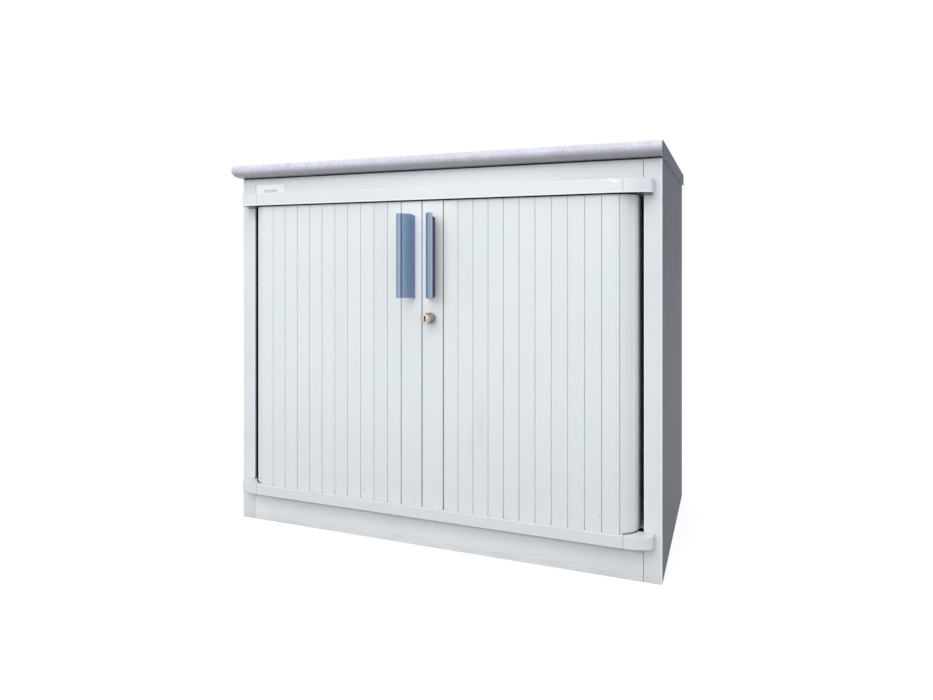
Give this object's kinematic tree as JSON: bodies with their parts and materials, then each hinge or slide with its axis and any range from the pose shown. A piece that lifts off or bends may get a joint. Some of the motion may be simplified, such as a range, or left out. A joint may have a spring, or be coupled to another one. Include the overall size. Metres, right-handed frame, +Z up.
{
  "type": "tambour door cabinet",
  "caption": "Desk-high office cupboard with a shelf, closed by a pair of slatted tambour curtains that slide apart round the front corners, with pull handles and a lock.",
  "frame": {"origin": "on the floor, under the centre of the box round the whole cabinet with its handles", "axes": "+Z up, the curtains and handles face -Y, +X to the right of someone facing the front"},
  "size_m": [0.837, 0.518, 0.715],
  "materials": {
    "light_grey_board": "chipboard faced with satin light grey melamine",
    "dark_side_board": "chipboard with a glossy dark blue-grey face",
    "speckled_worktop": "postformed laminate, light grey with fine darker speckle",
    "light_grey_track": "satin moulded and extruded plastic",
    "light_grey_slat": "satin extruded plastic with faint upright ribs and light scuffs",
    "blue_grey_handle": "semi-gloss moulded plastic",
    "nickel_lock": "worn satin nickel plating",
    "zinc_steel": "zinc-plated steel"
  },
  "bodies": {
    "carcass": {"back_panel": "light_grey_board", "base_panel": "light_grey_board", "top_panel": "light_grey_board", "plinth_board": "light_grey_board", "top_fascia": "light_grey_board", "left_front_post": "light_grey_board", "right_front_post": "light_grey_board", "left_inner_liner": "light_grey_board", "right_inner_liner": "light_grey_board", "shelf": "light_grey_board", "left_side_panel": "dark_side_board", "right_side_panel": "dark_side_board", "worktop": "speckled_worktop", "bottom_track_rail": "light_grey_track", "top_track_rail": "light_grey_track", "left_bottom_rail_cap": "light_grey_track", "right_bottom_rail_cap": "light_grey_track", "left_top_rail_cap": "light_grey_track", "right_top_rail_cap": "light_grey_track", "left_front_shelf_pin": "zinc_steel", "left_back_shelf_pin": "zinc_steel", "right_front_shelf_pin": "zinc_steel", "right_back_shelf_pin": "zinc_steel", "left_corner_slat_1": "light_grey_slat", "left_corner_slat_2": "light_grey_slat", "left_corner_slat_3": "light_grey_slat", "right_corner_slat_1": "light_grey_slat", "right_corner_slat_2": "light_grey_slat", "right_corner_slat_3": "light_grey_slat"},
    "left_door": {"left_lead_stile": "light_grey_slat", "left_handle": "blue_grey_handle", "lock_keeper": "zinc_steel"},
    "right_door": {"right_lead_stile": "light_grey_slat", "right_handle": "blue_grey_handle", "lock_barrel": "nickel_lock", "lock_collar": "nickel_lock"},
    "lock_core": {"lock_plug": "nickel_lock", "lock_hook": "zinc_steel"},
    "left_slat_01_body": {"left_slat_01": "light_grey_slat"},
    "left_slat_02_body": {"left_slat_02": "light_grey_slat"},
    "left_slat_03_body": {"left_slat_03": "light_grey_slat"},
    "left_slat_04_body": {"left_slat_04": "light_grey_slat"},
    "left_slat_05_body": {"left_slat_05": "light_grey_slat"},
    "left_slat_06_body": {"left_slat_06": "light_grey_slat"},
    "left_slat_07_body": {"left_slat_07": "light_grey_slat"},
    "left_slat_08_body": {"left_slat_08": "light_grey_slat"},
    "left_slat_09_body": {"left_slat_09": "light_grey_slat"},
    "left_slat_10_body": {"left_slat_10": "light_grey_slat"},
    "left_tail": {"left_tail_slat": "light_grey_slat"},
    "right_slat_01_body": {"right_slat_01": "light_grey_slat"},
    "right_slat_02_body": {"right_slat_02": "light_grey_slat"},
    "right_slat_03_body": {"right_slat_03": "light_grey_slat"},
    "right_slat_04_body": {"right_slat_04": "light_grey_slat"},
    "right_slat_05_body": {"right_slat_05": "light_grey_slat"},
    "right_slat_06_body": {"right_slat_06": "light_grey_slat"},
    "right_slat_07_body": {"right_slat_07": "light_grey_slat"},
    "right_slat_08_body": {"right_slat_08": "light_grey_slat"},
    "right_slat_09_body": {"right_slat_09": "light_grey_slat"},
    "right_slat_10_body": {"right_slat_10": "light_grey_slat"},
    "right_tail": {"right_tail_slat": "light_grey_slat"}
  },
  "joints": [
    {"name": "left_door_slide", "type": "slide", "parent": "carcass", "child": "left_door", "axis": [-1, 0, 0], "range_m": [0, 0.2785]},
    {"name": "right_door_slide", "type": "slide", "parent": "carcass", "child": "right_door", "axis": [1, 0, 0], "range_m": [0, 0.2785]},
    {"name": "left_slat_01_slide", "type": "slide", "parent": "carcass", "child": "left_slat_01_body", "axis": [-1, 0, 0], "range_m": [0, 0.2786], "deforming": ["left_slat_01"]},
    {"name": "left_slat_02_slide", "type": "slide", "parent": "carcass", "child": "left_slat_02_body", "axis": [-1, 0, 0], "range_m": [0, 0.2507], "deforming": ["left_slat_02"]},
    {"name": "left_slat_03_slide", "type": "slide", "parent": "carcass", "child": "left_slat_03_body", "axis": [-1, 0, 0], "range_m": [0, 0.2229], "deforming": ["left_slat_03"]},
    {"name": "left_slat_04_slide", "type": "slide", "parent": "carcass", "child": "left_slat_04_body", "axis": [-1, 0, 0], "range_m": [0, 0.195], "deforming": ["left_slat_04"]},
    {"name": "left_slat_05_slide", "type": "slide", "parent": "carcass", "child": "left_slat_05_body", "axis": [-1, 0, 0], "range_m": [0, 0.1671], "deforming": ["left_slat_05"]},
    {"name": "left_slat_06_slide", "type": "slide", "parent": "carcass", "child": "left_slat_06_body", "axis": [-1, 0, 0], "range_m": [0, 0.1393], "deforming": ["left_slat_06"]},
    {"name": "left_slat_07_slide", "type": "slide", "parent": "carcass", "child": "left_slat_07_body", "axis": [-1, 0, 0], "range_m": [0, 0.1115], "deforming": ["left_slat_07"]},
    {"name": "left_slat_08_slide", "type": "slide", "parent": "carcass", "child": "left_slat_08_body", "axis": [-1, 0, 0], "range_m": [0, 0.0836], "deforming": ["left_slat_08"]},
    {"name": "left_slat_09_slide", "type": "slide", "parent": "carcass", "child": "left_slat_09_body", "axis": [-1, 0, 0], "range_m": [0, 0.0558], "deforming": ["left_slat_09"]},
    {"name": "left_slat_10_slide", "type": "slide", "parent": "carcass", "child": "left_slat_10_body", "axis": [-1, 0, 0], "range_m": [0, 0.0279], "deforming": ["left_slat_10"]},
    {"name": "left_tail_slide", "type": "slide", "parent": "carcass", "child": "left_tail", "axis": [0, 1, 0], "range_m": [0, 0.2785]},
    {"name": "right_slat_01_slide", "type": "slide", "parent": "carcass", "child": "right_slat_01_body", "axis": [1, 0, 0], "range_m": [0, 0.2786], "deforming": ["right_slat_01"]},
    {"name": "right_slat_02_slide", "type": "slide", "parent": "carcass", "child": "right_slat_02_body", "axis": [1, 0, 0], "range_m": [0, 0.2507], "deforming": ["right_slat_02"]},
    {"name": "right_slat_03_slide", "type": "slide", "parent": "carcass", "child": "right_slat_03_body", "axis": [1, 0, 0], "range_m": [0, 0.2229], "deforming": ["right_slat_03"]},
    {"name": "right_slat_04_slide", "type": "slide", "parent": "carcass", "child": "right_slat_04_body", "axis": [1, 0, 0], "range_m": [0, 0.195], "deforming": ["right_slat_04"]},
    {"name": "right_slat_05_slide", "type": "slide", "parent": "carcass", "child": "right_slat_05_body", "axis": [1, 0, 0], "range_m": [0, 0.1671], "deforming": ["right_slat_05"]},
    {"name": "right_slat_06_slide", "type": "slide", "parent": "carcass", "child": "right_slat_06_body", "axis": [1, 0, 0], "range_m": [0, 0.1393], "deforming": ["right_slat_06"]},
    {"name": "right_slat_07_slide", "type": "slide", "parent": "carcass", "child": "right_slat_07_body", "axis": [1, 0, 0], "range_m": [0, 0.1115], "deforming": ["right_slat_07"]},
    {"name": "right_slat_08_slide", "type": "slide", "parent": "carcass", "child": "right_slat_08_body", "axis": [1, 0, 0], "range_m": [0, 0.0836], "deforming": ["right_slat_08"]},
    {"name": "right_slat_09_slide", "type": "slide", "parent": "carcass", "child": "right_slat_09_body", "axis": [1, 0, 0], "range_m": [0, 0.0558], "deforming": ["right_slat_09"]},
    {"name": "right_slat_10_slide", "type": "slide", "parent": "carcass", "child": "right_slat_10_body", "axis": [1, 0, 0], "range_m": [0, 0.0279], "deforming": ["right_slat_10"]},
    {"name": "right_tail_slide", "type": "slide", "parent": "carcass", "child": "right_tail", "axis": [0, 1, 0], "range_m": [0, 0.2785]},
    {"name": "lock_turn", "type": "hinge", "parent": "right_door", "child": "lock_core", "pos_m": [0.018, -0.229, 0.422], "axis": [0, 1, 0], "range_deg": [0, 90]}
  ],
  "couplings": [
    {"joint": "left_slat_01_slide", "follows": "left_door_slide", "ratio": 1},
    {"joint": "left_slat_02_slide", "follows": "left_door_slide", "ratio": 0.9},
    {"joint": "left_slat_03_slide", "follows": "left_door_slide", "ratio": 0.8},
    {"joint": "left_slat_04_slide", "follows": "left_door_slide", "ratio": 0.7},
    {"joint": "left_slat_05_slide", "follows": "left_door_slide", "ratio": 0.6},
    {"joint": "left_slat_06_slide", "follows": "left_door_slide", "ratio": 0.5},
    {"joint": "left_slat_07_slide", "follows": "left_door_slide", "ratio": 0.4},
    {"joint": "left_slat_08_slide", "follows": "left_door_slide", "ratio": 0.3},
    {"joint": "left_slat_09_slide", "follows": "left_door_slide", "ratio": 0.2},
    {"joint": "left_slat_10_slide", "follows": "left_door_slide", "ratio": 0.1},
    {"joint": "left_tail_slide", "follows": "left_door_slide", "ratio": 1},
    {"joint": "right_slat_01_slide", "follows": "right_door_slide", "ratio": 1},
    {"joint": "right_slat_02_slide", "follows": "right_door_slide", "ratio": 0.9},
    {"joint": "right_slat_03_slide", "follows": "right_door_slide", "ratio": 0.8},
    {"joint": "right_slat_04_slide", "follows": "right_door_slide", "ratio": 0.7},
    {"joint": "right_slat_05_slide", "follows": "right_door_slide", "ratio": 0.6},
    {"joint": "right_slat_06_slide", "follows": "right_door_slide", "ratio": 0.5},
    {"joint": "right_slat_07_slide", "follows": "right_door_slide", "ratio": 0.4},
    {"joint": "right_slat_08_slide", "follows": "right_door_slide", "ratio": 0.3},
    {"joint": "right_slat_09_slide", "follows": "right_door_slide", "ratio": 0.2},
    {"joint": "right_slat_10_slide", "follows": "right_door_slide", "ratio": 0.1},
    {"joint": "right_tail_slide", "follows": "right_door_slide", "ratio": 1}
  ]
}
